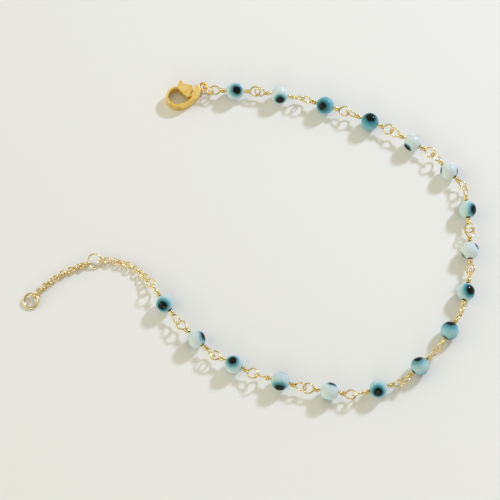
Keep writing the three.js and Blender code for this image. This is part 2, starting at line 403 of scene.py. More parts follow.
@dataclass(frozen=True)
class GoldFinish:
    """Polished gold plate: a warm metal with faint clouds, fine drag marks and tiny dents.

    Cloud and grain are the sizes of the clouds and marks. Cloud_edges is where a cloud turns
    from the bright gold to the deep one. Scuff and bloom are how much the marks and the clouds
    add to the roughness, relief is the dents' height and press their strength.
    """

    name: str
    slot: str
    bright: Colour
    deep: Colour
    polish: float = 0.16
    cloud: float = 1.5 * MM
    cloud_edges: tuple[float, float] = (0.35, 0.65)
    grain: float = 0.12 * MM
    drag: tuple[float, float, float] = (1.0, 0.25, 1.0)
    scuff: float = 0.16
    bloom: float = 0.08
    relief: float = 0.004 * MM
    press: float = 0.35

    def material(self) -> bpy.types.Material:
        """Build the finish.

        Returns:
            The new material.
        """
        graph = Graph(bpy.data.materials.new(self.name))
        place = graph.add("TexCoord").outputs["Object"]
        clouds = graph.noise(place, self.cloud, 3.0).outputs["Fac"]
        grain = graph.noise(place, self.grain, 4.0).outputs["Fac"]
        marks = graph.noise(graph.vector("MULTIPLY", place, self.drag), self.grain, 2.0)
        cloudy = graph.fade(clouds, *self.cloud_edges)
        graph.feed(graph.shader.inputs["Base Color"], graph.mix(cloudy, self.bright, self.deep))
        smoothest = self.polish - self.scuff / 2
        rough = graph.math("MULTIPLY_ADD", marks.outputs["Fac"], self.scuff, smoothest)
        rough = graph.math("MULTIPLY_ADD", clouds, self.bloom, rough)
        graph.feed(graph.shader.inputs["Roughness"], rough)
        graph.dent(grain, self.press, self.relief)
        graph.set(Metallic=1.0)
        return graph.owner


@dataclass(frozen=True)
class EyeGlass:
    """Milky glass with a soft turquoise eye and a black pupil melted into two opposite sides.

    Radius, edge and core_span are millimetres on the bead, and wobble a share of its radius. The
    specks' size is a share of the clouds'. Zone_stops are the places of
    the eye's colours between its pupil and its rim, and cover_span is where the eye thins out.
    Body_span and body_tone say how the body's shade and specks become its blue. Polish and
    haze_rough give the roughness, and ripple and ripple_press the soft waves of the surface.
    """

    name: str = "eye_glass"
    slot: str = "bead_glass"
    radius: float = 2.0
    milk: Colour = (0.625, 0.70, 0.715)
    haze: Colour = (0.32, 0.55, 0.60)
    turquoise: Colour = (0.095, 0.36, 0.46)
    sea: Colour = (0.04, 0.19, 0.225)
    teal: Colour = (0.010, 0.055, 0.060)
    pupil: Colour = (0.0004, 0.006, 0.0055)
    core: Colour = (0.004, 0.004, 0.003)
    # Colour of the dark ring round each bore's end: partly bead-release residue, partly painted shade of the
    # hole's mouth and of the gap before the wire's coil.
    stain_and_shade: Colour = (0.13, 0.12, 0.085)
    edge: float = 0.20
    wobble: float = 0.12
    core_span: tuple[float, float] = (0.10, 0.38)
    zone_stops: tuple[float, float, float, float] = (0.0, 0.2, 0.55, 1.0)
    cover_span: tuple[float, float] = (0.35, 1.35)
    body_span: tuple[float, float] = (1.1, 0.0)
    body_tone: float = 0.2
    cloud: float = 1.4 * MM
    speck: float = 0.4
    speck_tint: float = 0.5
    polish: float = 0.05
    haze_rough: float = 0.08
    ripple: float = 0.05 * MM
    ripple_press: float = 0.4

    def material(self) -> bpy.types.Material:
        """Build the glass; it reads each bead's own eye_place and eye_size attributes.

        Returns:
            The new material.
        """
        graph = Graph(bpy.data.materials.new(self.name))
        place = graph.add("Attribute", attribute_name="eye_place").outputs["Vector"]
        size = graph.add("Attribute", attribute_name="eye_size").outputs["Vector"]
        pupil_radius, zone, tint = graph.add("SeparateXYZ", {0: size}).outputs
        spot = graph.add("TexCoord").outputs["Object"]
        clouds = graph.noise(spot, self.cloud, 2.0)
        shake = graph.vector("SUBTRACT", clouds.outputs["Color"], (0.5, 0.5, 0.5))
        shake = graph.vector("SCALE", shake)
        shake.node.inputs["Scale"].default_value = self.wobble * 2
        moved = graph.vector("ADD", place, shake)
        across = graph.vector("MULTIPLY", moved, (self.radius, self.radius, 0.0))
        distance = graph.vector("LENGTH", across, output=1)
        pupil_low = graph.math("SUBTRACT", pupil_radius, self.edge)
        pupil_high = graph.math("ADD", pupil_radius, self.edge)
        pupil = graph.fade(distance, pupil_low, pupil_high)
        ring = graph.math("SUBTRACT", distance, pupil_radius)
        share = graph.math("DIVIDE", ring, graph.math("SUBTRACT", zone, pupil_radius))
        colours = (self.teal, self.sea, self.turquoise, self.haze)
        iris = graph.ramp(share, tuple(zip(self.zone_stops, colours)))
        fine = graph.noise(spot, self.cloud * self.speck, 3.0).outputs["Fac"]
        shade = graph.add("Attribute", attribute_name="body_shade").outputs["Fac"]
        tone = graph.math("SUBTRACT", shade, self.body_tone)
        blue = graph.math("MULTIPLY_ADD", fine, self.speck_tint, tone)
        body = graph.mix(graph.fade(blue, *self.body_span), self.milk, self.haze)
        cover = graph.math("MULTIPLY", graph.fade(share, *self.cover_span), tint)
        colour = graph.mix(cover, body, iris)
        dark = graph.mix(graph.fade(distance, *self.core_span), self.pupil, self.core)
        glass = graph.mix(pupil, colour, dark)
        # Darken the glass round each bore's end: partly bead-release residue, partly painted shade of the hole's
        # mouth.
        stain_and_shade = graph.add("Attribute", attribute_name="bore_stain_and_shade").outputs["Fac"]
        graph.feed(graph.shader.inputs["Base Color"], graph.mix(stain_and_shade, glass, self.stain_and_shade))
        rough = graph.math("MULTIPLY_ADD", fine, self.haze_rough, self.polish)
        graph.feed(graph.shader.inputs["Roughness"], rough)
        graph.dent(clouds.outputs["Fac"], self.ripple_press, self.ripple)
        graph.set(IOR=1.48, Specular_IOR_Level=0.2)
        graph.set(Subsurface_Weight=0.3, Subsurface_Scale=0.7 * MM)
        graph.set(Subsurface_Radius=(0.8, 1.0, 1.0))
        return graph.owner


LINK_GOLD = GoldFinish("link_gold", "link_wire_gold", (0.86, 0.72, 0.38), (0.66, 0.50, 0.21), 0.15)
CLASP_GOLD = GoldFinish(
    "clasp_gold", "clasp_gold", (0.92, 0.71, 0.28), (0.86, 0.56, 0.13), 0.09, relief=0.0012 * MM
)
RING_GOLD = GoldFinish("ring_gold", "ring_gold", (0.90, 0.77, 0.44), (0.76, 0.62, 0.32), 0.16)
CHAIN_GOLD = GoldFinish("chain_gold", "chain_gold", (0.92, 0.75, 0.39), (0.74, 0.56, 0.24), 0.14)


def dress(
    piece: bpy.types.Object, finish: GoldFinish | EyeGlass, material: bpy.types.Material,
    body: str, *nodes: str,
) -> None:
    """Give a finished piece its material and its body, and hide the CAD nodes that it stands for.

    Args:
        piece: The mesh object, settled at the origin.
        finish: The piece's finish; not used.
        material: The finish's material.
        body: The body that it moves with.
        nodes: The CAD nodes that it replaces.
    """
    piece.data.materials.clear()
    piece.data.materials.append(material)
    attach(piece, body)
    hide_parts(*nodes)
    log.info("%s on %s: %d faces", piece.name, body, len(piece.data.polygons))


# ---------------------------------------------------------------- beads


@dataclass(frozen=True)
class Eye:
    """How one bead sits on its wire.

    Turn is the eye's height angle round the wire in degrees, lean its tilt along the wire.
    Pupil and zone are radii in millimetres, tint is how strongly the zone is coloured, and
    shade goes from a white body at 0 to a pale blue one at 1.
    """

    turn: float
    lean: float
    pupil: float
    zone: float
    tint: float
    shade: float


EYES = (
    Eye(turn=113, lean=14, pupil=0.92, zone=1.75, tint=0.9, shade=0.35),
    Eye(turn=154, lean=10, pupil=0.90, zone=1.6, tint=0.9, shade=0.05),
    Eye(turn=129, lean=-10, pupil=0.80, zone=2.5, tint=1.0, shade=1.0),
    Eye(turn=86, lean=1, pupil=0.98, zone=2.5, tint=1.0, shade=0.95),
    Eye(turn=182, lean=-10, pupil=0.95, zone=1.35, tint=0.85, shade=0.05),
    Eye(turn=179, lean=-43, pupil=0.92, zone=1.25, tint=0.6, shade=0.15),
    Eye(turn=36, lean=17, pupil=0.95, zone=1.85, tint=1.0, shade=0.3),
    Eye(turn=24, lean=-30, pupil=0.95, zone=1.3, tint=0.5, shade=0.15),
    Eye(turn=58, lean=-3, pupil=1.00, zone=2.0, tint=1.0, shade=0.2),
    Eye(turn=112, lean=-40, pupil=0.98, zone=2.2, tint=0.95, shade=0.8),
    Eye(turn=133, lean=-16, pupil=0.95, zone=2.1, tint=0.85, shade=0.55),
    Eye(turn=50, lean=17, pupil=0.85, zone=1.9, tint=1.0, shade=0.4),
    Eye(turn=144, lean=-10, pupil=0.88, zone=1.45, tint=0.6, shade=0.25),
    Eye(turn=15, lean=-9, pupil=0.98, zone=1.85, tint=0.95, shade=0.4),
    Eye(turn=90, lean=8, pupil=0.85, zone=1.85, tint=0.9, shade=0.35),
    Eye(turn=148, lean=-29, pupil=0.92, zone=1.7, tint=0.8, shade=0.15),
    Eye(turn=53, lean=-21, pupil=0.88, zone=1.9, tint=1.0, shade=0.4),
)


@dataclass(frozen=True)
class LinkPlace:
    """Where one bead and its wire lie, read from their CAD nodes."""

    number: int
    middle: Vector
    along: Vector

    @property
    def matrix(self) -> Matrix:
        """From the link's own frame, with the wire on X, to the row frame."""
        return frame_of(self.along, Vector((0, 0, 1)), self.middle)


def link_places() -> list[LinkPlace]:
    """Find every link's place, in order from the clasp.

    Returns:
        A place for each bead.
    """
    count = len([n for n in frame["nodes"] if n.startswith("bead_")])
    middles = [node_middle(f"bead_{k:02d}") for k in range(1, count + 1)]
    places = []
    for k, middle in enumerate(middles):
        flat = node_points(f"link_wire_{k + 1:02d}")[:, :2]
        along = main_directions(flat)[0].to_3d()
        onward = middles[min(k + 1, count - 1)] - middles[max(k - 1, 0)]
        places.append(LinkPlace(k + 1, middle, along if along.dot(onward) > 0 else -along))
    return places


@dataclass
class EyeBeads:
    """The glass beads, each bored through for its wire; the glass round each bore's end is darkened out to a set
    distance from the wire, partly for bead-release residue and partly as painted shade of the hole's mouth.
    """

    radius: float = 2.0 * MM
    bore: float = 0.42 * MM
    rim: float = 0.14 * MM
    # Distances from the wire over which the dark ring round the bore goes from full to none: partly bead-release
    # residue, partly painted shade.
    stain_and_shade_span: tuple[float, float] = (0.44 * MM, 0.66 * MM)
    segments: int = 64
    rings: int = 40
    finish: EyeGlass = field(default_factory=EyeGlass)

    def model(self) -> bpy.types.Object:
        """Shape one bead on the X axis: a ball cut at both ends, bored and with melted rims.

        Returns:
            The bead, whole and at the origin.
        """
        bpy.ops.mesh.primitive_uv_sphere_add(
            segments=self.segments, ring_count=self.rings, radius=self.radius,
            rotation=(0, rad(90), 0),
        )
        bead = bpy.context.active_object
        settle(bead)
        end = math.sqrt(self.radius ** 2 - self.bore ** 2)
        with editing(bead):
            for side in (1, -1):
                bpy.ops.mesh.select_all(action="SELECT")
                bpy.ops.mesh.bisect(
                    plane_co=(side * end, 0, 0), plane_no=(side, 0, 0), clear_outer=True,
                    threshold=WELD,
                )
            bpy.ops.mesh.select_all(action="DESELECT")
            bpy.ops.mesh.select_mode(type="EDGE")
            bpy.ops.mesh.select_non_manifold()
            bpy.ops.mesh.bridge_edge_loops(number_cuts=3)
            bpy.ops.mesh.select_all(action="SELECT")
            bpy.ops.mesh.normals_make_consistent(inside=False)
            select_where(bead, Part.EDGE, lambda at, way: abs(abs(at.x) - end) < WELD * 10)
            bpy.ops.mesh.bevel(offset=self.rim, segments=4, affect="EDGES", clamp_overlap=True)
        clean(bead)
        smooth(bead, 60)
        return bead

    def place_eye(self, bead: bpy.types.Object, eye: Eye) -> None:
        """Write where each point lies about the bead's eye, for the glass to read.

        Args:
            bead: A bead still in its own frame.
            eye: How the bead sits on its wire.
        """
        turn, lean = rad(eye.turn), rad(eye.lean)
        out = math.cos(lean)
        axis = Vector((math.sin(lean), out * math.cos(turn), out * math.sin(turn)))
        to_eye = np.array(axis.to_track_quat("Z", "X").to_matrix().transposed())
        points = np.array([v.co for v in bead.data.vertices])
        ways = points / np.linalg.norm(points, axis=1, keepdims=True)
        place = bead.data.attributes.new("eye_place", "FLOAT_VECTOR", "POINT")
        place.data.foreach_set("vector", (ways @ to_eye.T).astype(np.float32).ravel())
        size = bead.data.attributes.new("eye_size", "FLOAT_VECTOR", "POINT")
        row = np.array([eye.pupil, eye.zone, eye.tint], np.float32)
        size.data.foreach_set("vector", np.tile(row, len(points)))
        shade = bead.data.attributes.new("body_shade", "FLOAT", "POINT")
        shade.data.foreach_set("value", np.full(len(points), eye.shade, np.float32))
        # Mark the glass near the bore for darkening: partly bead-release residue, partly painted shade of the
        # hole's mouth.
        inner, outer = self.stain_and_shade_span
        share = (outer - np.hypot(points[:, 1], points[:, 2])) / (outer - inner)
        stain_and_shade = bead.data.attributes.new("bore_stain_and_shade", "FLOAT", "POINT")
        stain_and_shade.data.foreach_set("value", np.clip(share, 0.0, 1.0).astype(np.float32))

    def build(self, places: Sequence[LinkPlace]) -> None:
        """Set a bead on every link.

        Args:
            places: Where the links lie.
        """
        master = self.model()
        glass = self.finish.material()
        for place, eye in zip(places, EYES, strict=True):
            bead = copy_of(master, f"eye_bead_{place.number:02d}")
            self.place_eye(bead, eye)
            settle(bead, place.matrix)
            dress(bead, self.finish, glass, BRACELET, f"bead_{place.number:02d}")
        bpy.data.objects.remove(master)


# ---------------------------------------------------------------- wire links


class End(Enum):
    """The two ends of a link, as the way that each points along it."""

    FIRST = -1
    SECOND = 1


@dataclass
class WrappedLinks:
    """One wire for each bead: through the bead, round a loop at each end, and coiled back.

    Reach is from the bead's centre to the far side of a loop, and opening the half angle that
    the loop leaves at its neck. Coil is the coil's radius, with its turns at a pitch.
    """

    wire: float = 0.18 * MM
    loop: float = 1.1 * MM
    reach: float = 5.73 * MM
    opening: float = 20.0
    coil: float = 0.36 * MM
    turns: float = 3.1
    pitch: float = 0.375 * MM
    loop_steps: int = 12
    coil_steps: int = 8
    coil_start: float = 45.0
    inside: float = 0.55
    sides: int = 10
    finish: GoldFinish = LINK_GOLD

    @property
    def neck(self) -> float:
        """From the bead's centre to where a loop begins."""
        return self.reach - 2 * self.loop

    def roll(self, place: LinkPlace, end: End) -> float:
        """The turn of a loop about its wire, read from the CAD node.

        Args:
            place: Where the link lies.
            end: Which of its loops.

        Returns:
            The angle from level, in radians.
        """
        points = node_points(f"link_wire_{place.number:02d}")
        local = np.array(place.matrix.inverted())
        points = points @ local[:3, :3].T + local[:3, 3]
        across = points[points[:, 0] * end.value > self.neck + self.wire][:, 1:]
        widest = main_directions(across)[0]
        return math.atan2(widest.y, widest.x)

    def half(self, end: End, roll: float) -> list[Vector]:
        """The wire's line from near the bead out to the loop and back along the coil.

        Args:
            end: Which end of the link.
            roll: The loop's turn about the wire.

        Returns:
            Points along the line, in the link's own frame.
        """
        middle, neck = self.reach - self.loop, self.neck
        flat = [(self.inside * neck, 0.0, 0.0), (neck - 1.4 * self.wire, 0.0, -0.1 * self.wire)]
        for k in range(self.loop_steps + 1):
            share = k / self.loop_steps
            angle = rad(180 + self.opening + share * (360 - 2 * self.opening))
            lift = self.wire * (0.9 * share ** 3 - 0.25)
            flat.append((middle + self.loop * math.cos(angle), self.loop * math.sin(angle), lift))
        count = round(self.turns * self.coil_steps)
        start = neck - 0.5 * self.wire
        for k in range(count + 1):
            angle = rad(self.coil_start + 360 * self.turns * k / count)
            drop = self.pitch * self.turns * k / count
            flat.append((start - drop, self.coil * math.cos(angle), self.coil * math.sin(angle)))
        turn = Matrix.Rotation(roll, 3, "X")
        return [turn @ Vector((end.value * x, y, z)) for x, y, z in flat]

    def bend(self, name: str, line: Sequence[Vector]) -> bpy.types.Object:
        """Bend round wire along a line.

        Args:
            name: The piece's name.
            line: The points that the wire's middle passes.

        Returns:
            The wire as a mesh.
        """
        curve = bpy.data.curves.new(name, "CURVE")
        curve.dimensions = "3D"
        curve.bevel_depth = self.wire
        curve.bevel_resolution = (self.sides - 4) // 2
        curve.use_fill_caps = True
        spline = curve.splines.new("BEZIER")
        spline.resolution_u = 3
        spline.bezier_points.add(len(line) - 1)
        for point, place in zip(spline.bezier_points, line):
            point.co = place
            point.handle_left_type = point.handle_right_type = "AUTO"
        wire = bpy.data.objects.new(name, curve)
        bpy.context.scene.collection.objects.link(wire)
        activate(wire)
        bpy.ops.object.convert(target="MESH")
        wire = bpy.context.view_layer.objects.active
        clean(wire)
        return wire

    def build(self, places: Sequence[LinkPlace]) -> None:
        """Make every link's wire.

        Args:
            places: Where the links lie.
        """
        gold = self.finish.material()
        for place in places:
            halves = {end: self.half(end, self.roll(place, end)) for end in End}
            line = halves[End.FIRST][::-1] + halves[End.SECOND]
            wire = self.bend(f"wrapped_link_{place.number:02d}", line)
            settle(wire, place.matrix)
            smooth(wire, 50)
            dress(wire, self.finish, gold, BRACELET, f"link_wire_{place.number:02d}")


# ---------------------------------------------------------------- rings and chains


class Closure(Enum):
    """How a ring's ends meet: a hairline gap in degrees, or none."""

    BUTTED = 2.5
    SOLDERED = 0.0


@dataclass
class WireRing:
    """A ring of round wire that lies as its CAD node does."""

    name: str
    node: str
    radius: float
    wire: float
    closure: Closure
    seam: float = 0.0
    steps: int = 72
    sides: int = 14
    finish: GoldFinish = RING_GOLD

    def model(self) -> bpy.types.Object:
        """Spin the wire's section round into a ring in the XY plane.

        Returns:
            The ring, with its ends to the +X side.
        """
        bpy.ops.mesh.primitive_circle_add(
            vertices=self.sides, radius=self.wire, location=(self.radius, 0, 0),
            rotation=(rad(90), 0, 0),
        )
        ring = bpy.context.active_object
        ring.name = ring.data.name = self.name
        settle(ring)
        gap = self.closure.value
        with editing(ring):
            bpy.ops.mesh.select_all(action="SELECT")
            bpy.ops.mesh.spin(
                steps=self.steps, angle=rad(360 - gap), center=(0, 0, 0), axis=(0, 0, 1)
            )
            bpy.ops.mesh.select_all(action="SELECT")
            bpy.ops.mesh.remove_doubles(threshold=WELD * 10)
            if gap:
                bpy.ops.mesh.select_mode(type="EDGE")
                bpy.ops.mesh.select_all(action="DESELECT")
                bpy.ops.mesh.select_non_manifold()
                bpy.ops.mesh.fill_holes(sides=0)
        clean(ring)
        return ring

    def build(self, gold: bpy.types.Material) -> None:
        """Make the ring and lay it in its node's plane.

        Args:
            gold: The material of the rings.
        """
        ring = self.model()
        normal = main_directions(node_points(self.node))[2]
        normal = normal if normal.z >= 0 else -normal
        toward = Vector((math.cos(rad(self.seam)), math.sin(rad(self.seam)), 0))
        across = toward - normal * toward.dot(normal)
        settle(ring, frame_of(across, normal, node_middle(self.node)))
        smooth(ring, 50)
        dress(ring, self.finish, gold, BRACELET, self.node)


@dataclass
class ChainRun:
    """A stretch of round-link chain, its links a quarter turn from each other.

    The chain bends from its first heading to its last, in degrees, and rolls by its twist on
    the way. Lift is how high the first link hangs, and lifted how many links come down from it.
    The outer seam_edge of each link's wire is pressed in to seam_press of its size.
    """

    name: str
    node: str
    links: int
    first_heading: float
    last_heading: float
    lift: float = 0.0
    lifted: int = 5
    twist: float = 180.0
    radius: float = 0.64 * MM
    wire: float = 0.185 * MM
    pitch: float = 0.955 * MM
    end_pitch: float = 1.05 * MM
    seam_edge: float = 0.55
    seam_press: float = 0.985
    steps: int = 28
    sides: int = 10

    def places(self) -> list[Matrix]:
        """Where each link stands, from the first at the origin.

        Returns:
            A matrix for each link.
        """
        at = Vector((0, 0, 0))
        found = []
        for k in range(self.links):
            along = k / (self.links - 1)
            roll = rad(90 + 90 * k + self.twist * along)
            heading = self.first_heading + (self.last_heading - self.first_heading) * along
            stand = self.radius * max(abs(math.sin(roll)), abs(math.cos(roll)))
            at.z = stand + self.wire + self.lift * max(0, 1 - k / self.lifted) ** 2
            turn = Matrix.Rotation(rad(heading), 4, "Z") @ Matrix.Rotation(roll, 4, "X")
            found.append(Matrix.Translation(at) @ turn)
            onward = (k + 0.5) / (self.links - 1)
            way = rad(self.first_heading + (self.last_heading - self.first_heading) * onward)
            pitch = self.end_pitch if k in (0, self.links - 2) else self.pitch
            at = at + Vector((math.cos(way), math.sin(way), 0)) * pitch
        return found

    def link(self) -> bpy.types.Object:
        """Shape one link: a ring of wire with its seam pressed a little flat.

        Returns:
            The link, flat on the XY plane.
        """
        bpy.ops.mesh.primitive_torus_add(
            major_segments=self.steps, minor_segments=self.sides,
            major_radius=self.radius, minor_radius=self.wire,
        )
        link = bpy.context.active_object
        with editing(link):
            edge = self.radius + self.seam_edge * self.wire
            select_where(link, Part.FACE, lambda at, way: at.xy.length > edge)
            press = (self.seam_press, self.seam_press, 1.0)
            bpy.ops.transform.resize(value=press, center_override=(0, 0, 0))
        return link

    def build(self, gold: bpy.types.Material, finish: GoldFinish) -> None:
        """Make the chain as one solid and lay it over its node.

        Args:
            gold: The chain's material.
            finish: The chain's finish.
        """
        master = self.link()
        copies = []
        for k, place in enumerate(self.places()):
            twin = copy_of(master, f"{self.name}_{k}")
            settle(twin, place)
            copies.append(twin)
        bpy.data.objects.remove(master)
        chain = merge(copies[0::2])
        combine(chain, merge(copies[1::2]), Join.UNION)
        chain.name = chain.data.name = self.name
        corners = [Vector(c) for c in chain.bound_box]
        middle = (corners[0] + corners[6]) / 2
        settle(chain, Matrix.Translation(node_middle(self.node) - middle))
        smooth(chain, 40)
        dress(chain, finish, gold, BRACELET, self.node)


@dataclass
class Extender:
    """The rings and the two stretches of chain that let the bracelet be closed wider."""

    rings: tuple[WireRing, ...] = (
        WireRing("clasp_ring", "clasp_jump_ring", 1.3 * MM, 0.2 * MM, Closure.BUTTED, 160),
        WireRing("first_ring", "extender_jump_ring", 1.02 * MM, 0.19 * MM, Closure.BUTTED, 200),
        WireRing("middle_ring", "extender_middle_ring", 1.52 * MM, 0.2 * MM, Closure.BUTTED, 80),
        WireRing("end_ring", "extender_end_ring", 1.6 * MM, 0.28 * MM, Closure.SOLDERED),
    )
    runs: tuple[ChainRun, ...] = (
        ChainRun("inner_chain", "extender_chain_inner", 13, 126, 184, lift=0.42 * MM),
        ChainRun("outer_chain", "extender_chain_outer", 15, 196, 232),
    )

    def build(self) -> None:
        """Make every ring and chain."""
        ring_gold = RING_GOLD.material()
        chain_gold = CHAIN_GOLD.material()
        for ring in self.rings:
            ring.build(ring_gold)
        for run in self.runs:
            run.build(chain_gold, CHAIN_GOLD)


# ---------------------------------------------------------------- clasp


class Outline:
    """A closed outline in the clasp's own plane, drawn in millimetres."""

    def __init__(self, x: float, y: float) -> None:
        """Start the outline at a point."""
        self.points = [Vector((x, y))]

    def line(self, x: float, y: float) -> "Outline":
        """Go straight to a point."""
        self.points.append(Vector((x, y)))
        return self

    def curve(self, cx: float, cy: float, x: float, y: float, steps: int = 10) -> "Outline":
        """Go to a point in a bend that leans towards a control point.

        Args:
            cx: The control point's place across.
            cy: The control point's place along.
            x: The end's place across.
            y: The end's place along.
            steps: How many points the bend gets.

        Returns:
            This outline.
        """
        start, control, end = self.points[-1].copy(), Vector((cx, cy)), Vector((x, y))
        for k in range(1, steps + 1):
            t = k / steps
            self.points.append(start * (1 - t) ** 2 + control * 2 * t * (1 - t) + end * t ** 2)
        return self

    def arc(
        self, middle: Vector, radius: float, start: float, end: float, steps: int = 24
    ) -> "Outline":
        """Go along a round arc.

        Args:
            middle: The arc's centre.
            radius: Its radius.
            start: The angle that it starts at, in degrees.
            end: The angle that it ends at, in degrees.
            steps: How many parts it has.

        Returns:
            This outline.
        """
        for k in range(steps + 1):
            angle = rad(start + (end - start) * k / steps)
            self.points.append(middle + Vector((math.cos(angle), math.sin(angle))) * radius)
        return self


@dataclass(frozen=True)
class BowArc:
    """One side of the hook's bow: a round arc that ends at the hook's tip."""

    x: float
    y: float
    radius: float
    tip: float

    @property
    def middle(self) -> Vector:
        """The arc's centre."""
        return Vector((self.x, self.y))


@dataclass
class LobsterClasp:
    """The clasp: a cast hook with a slotted back and tail ring, and a sprung thumb lever.

    Rest is the point that the record's mount gives. Angles are degrees about the hinge. The
    shares say how much of the full rounding the edges get: inside the bow, where hook and lever
    meet, at the shoulders, and along the lever's outer side.
    """

    thickness: float = 2.1
    outer: BowArc = BowArc(0.35, 0.5, 2.62, 91.5)
    inner: BowArc = BowArc(0.37, 0.58, 2.08, 98.4)
    hinge: Vector = field(default_factory=lambda: Vector((4.45, 0.75)))
    rest: Vector = field(default_factory=lambda: Vector((4.9, 1.0)))
    cheek: float = 0.92
    lever_play: float = 0.17
    lever_reach: float = 4.68
    foot: float = 138.0
    tip_face: float = -0.05
    lever_inset: float = 0.05
    pin: float = 0.28
    pin_play: float = 0.08
    pin_depth: float = 0.2
    head: float = 0.42
    head_rise: float = 0.08
    head_dome: float = 0.06
    slot: float = 1.0
    slot_reach: float = 2.05
    tongue: float = 0.8
    tongue_reach: float = 1.85
    eye: float = 0.7
    eye_play: float = 0.1
    tail: Vector = field(default_factory=lambda: Vector((6.45, 2.75)))
    tail_hole: float = 0.62
    tail_outer: float = 1.12
    tail_height: float = 1.55
    tail_thickness: float = 1.15
    rounding: float = 0.36
    inner_share: float = 0.28
    tip_share: float = 0.1
    meeting_share: float = 0.12
    shoulder_share: float = 0.45
    outer_share: float = 0.62
    sharp: float = 50.0
    least_step: float = 1e-3
    finish: GoldFinish = CLASP_GOLD

    def place(self) -> Matrix:
        """The clasp's place, from its hinge and its resting mount in the record.

        Returns:
            The matrix from the clasp's own frame, in millimetres, to the row frame.
        """
        joint = next(j for j in frame["joints"] if j["child"] == LEVER)
        mount = next(m for m in frame["record"]["mounts"] if m["name"] == "clasp_underside")
        hinge, rest = Vector(joint["pos_m"]), Vector(mount["pos_m"])
        world, own = (rest - hinge).to_2d(), self.rest - self.hinge
        turn = Matrix.Rotation(own.angle_signed(world) * -1, 4, "Z")
        shift = Matrix.Translation(-self.hinge.to_3d())
        base = Matrix.Translation((hinge.x, hinge.y, 0))
        return base @ turn @ Matrix.Scale(MM, 4) @ shift

    def plate(
        self, name: str, outline: Outline, low: float, high: float,
        share: Callable[[Vector], float] | None = None,
    ) -> bpy.types.Object:
        """Cast a flat piece with an outline, between two heights.

        Args:
            name: The piece's name.
            outline: Its outline.
            low: The height of its underside.
            high: The height of its top.
            share: How much of the full rounding an edge gets, from the edge's middle.

        Returns:
            The solid, in the clasp's own frame.
        """
        path = outline.points
        points = [p for k, p in enumerate(path) if (p - path[k - 1]).length > self.least_step]
        bpy.ops.mesh.primitive_circle_add(vertices=len(points), radius=1.0, fill_type="NGON")
        piece = bpy.context.active_object
        piece.name = piece.data.name = name
        for vertex, point in zip(piece.data.vertices, points):
            vertex.co = (point.x, point.y, low)
        with editing(piece):
            bpy.ops.mesh.select_all(action="SELECT")
            bpy.ops.mesh.extrude_region_move(
                TRANSFORM_OT_translate={"value": (0, 0, high - low)}
            )
            bpy.ops.mesh.select_all(action="SELECT")
            bpy.ops.mesh.normals_make_consistent(inside=False)
        if share:
            self.round_edges(piece, share)
        return piece

    def round_edges(self, piece: bpy.types.Object, share: Callable[[Vector], float]) -> None:
        """Round a casting's sharp edges, each by its own share of the full rounding.

        Args:
            piece: The casting.
            share: How much of the full rounding an edge gets, from the edge's middle.
        """
        shape = bmesh.new()
        shape.from_mesh(piece.data)
        weights = [0.0] * len(shape.edges)
        for k, edge in enumerate(shape.edges):
            if edge.calc_face_angle(0) > rad(self.sharp):
                weights[k] = share((edge.verts[0].co + edge.verts[1].co) / 2)
        shape.free()
        weight = piece.data.attributes.new("bevel_weight_edge", "FLOAT", "EDGE")
        weight.data.foreach_set("value", weights)
        bevel = piece.modifiers.new("rounding", "BEVEL")
        bevel.width = self.rounding
        bevel.segments = 5
        bevel.limit_method = "WEIGHT"
        apply_all(piece)

    def drum(
        self, middle: Vector, radius: float, low: float, high: float, dome: float = 0.0
    ) -> bpy.types.Object:
        """Turn a round piece, with a domed top if asked.

        Args:
            middle: Its place.
            radius: Its radius.
            low: The height of its underside.
            high: The height of its top.
            dome: How far its top edge is rounded.

        Returns:
            The solid, in the clasp's own frame.
        """
        bpy.ops.mesh.primitive_cylinder_add(
            vertices=40, radius=radius, depth=high - low,
            location=(middle.x, middle.y, (low + high) / 2),
        )
        piece = bpy.context.active_object
        settle(piece)
        if dome:
            with editing(piece):
                select_where(piece, Part.FACE, lambda at, way: way.z > 0.9)
                bpy.ops.mesh.bevel(offset=dome, segments=4, affect="EDGES")
        return piece

    def round_hinge(self, reach: float, degrees: float) -> Vector:
        """The point at a distance from the hinge, in a direction."""
        return self.hinge + Vector((math.cos(rad(degrees)), math.sin(rad(degrees)))) * reach

    def sector(self, reach: float, start: float, end: float) -> Outline:
        """A slice of a disc about the hinge, between two angles in degrees."""
        return Outline(*self.hinge).arc(self.hinge, reach, start, end)

    def hook_outline(self) -> Outline:
        """Draw the body's outline: the bow, the back, the shoulder by the tail, and the cheek.

        Returns:
            The outline, from the shoulder on.
        """
        outer, inner = self.outer, self.inner
        line = Outline(5.45, 2.65)
        line.curve(5.1, 3.1, 4.5, 2.9).line(4.38, 2.0)
        line.arc(self.hinge, self.cheek, 103, 222, 14)
        line.line(3.1, -0.55).line(1.9, -1.3).curve(1.5, -1.42, 1.1, -1.37)
        line.arc(inner.middle, inner.radius, -70, inner.tip - 360, 40)
        line.arc(outer.middle, outer.radius, outer.tip, 270, 40)
        line.curve(2.1, -2.1, 3.1, -1.3).line(4.3, -0.6)
        line.curve(5.4, 0.1, 5.6, 1.0).line(5.85, 1.85).line(5.6, 2.2)
        return line

    def lever_outline(self) -> Outline:
        """Draw the lever's outline: its closing edge, the hinge end and the thumb knob.

        Returns:
            The outline, from the closing edge on.
        """
        foot = self.round_hinge(self.lever_reach, self.foot)
        line = Outline(0.6, 2.62).line(2.7, 0.02)
        line.arc(self.hinge, self.cheek + self.lever_play, 203, 105, 12)
        line.line(3.95, 3.12).curve(3.0, 3.5, 1.85, 3.85)
        line.curve(1.9, 4.68, 1.35, 4.68).curve(0.8, 4.65, foot.x, foot.y)
        line.arc(self.hinge, self.lever_reach, self.foot, 155, 6)
        return line

